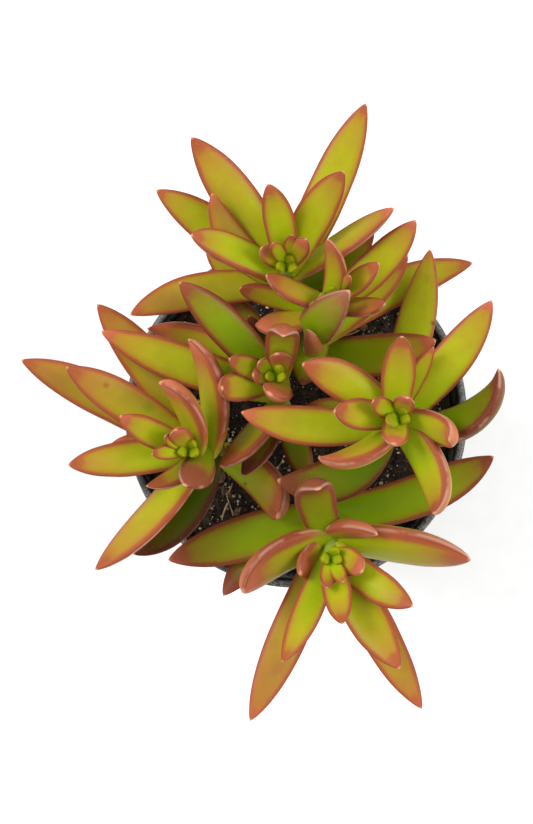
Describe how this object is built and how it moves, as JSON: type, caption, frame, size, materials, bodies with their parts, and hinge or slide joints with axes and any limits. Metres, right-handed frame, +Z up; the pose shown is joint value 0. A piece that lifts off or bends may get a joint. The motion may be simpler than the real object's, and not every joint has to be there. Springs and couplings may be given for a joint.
{
  "type": "potted sedum",
  "caption": "Leafy rosette-forming sedum with thick pointed leaves on bending stems, standing in soil in a round black nursery pot.",
  "frame": {"origin": "middle of the pot's base, where it rests", "axes": "+Z up; +Y towards the shoot at the top of the picture, +X towards its right"},
  "size_m": [0.1211, 0.1556, 0.1322],
  "materials": {
    "pot": "black moulded plastic, smooth and softly glossy, dusty in places",
    "soil": "dark moist peat with small pale grains and fibres, matte",
    "leaf": "waxy succulent leaf, yellow-green with orange-red edges and tips, softly glossy"
  },
  "bodies": {
    "root": {"pot": "pot", "soil": "soil", "shoot_top": "leaf", "shoot_upper_right": "leaf", "shoot_middle": "leaf", "shoot_left": "leaf", "shoot_right": "leaf", "shoot_bottom": "leaf"}
  },
  "joints": []
}
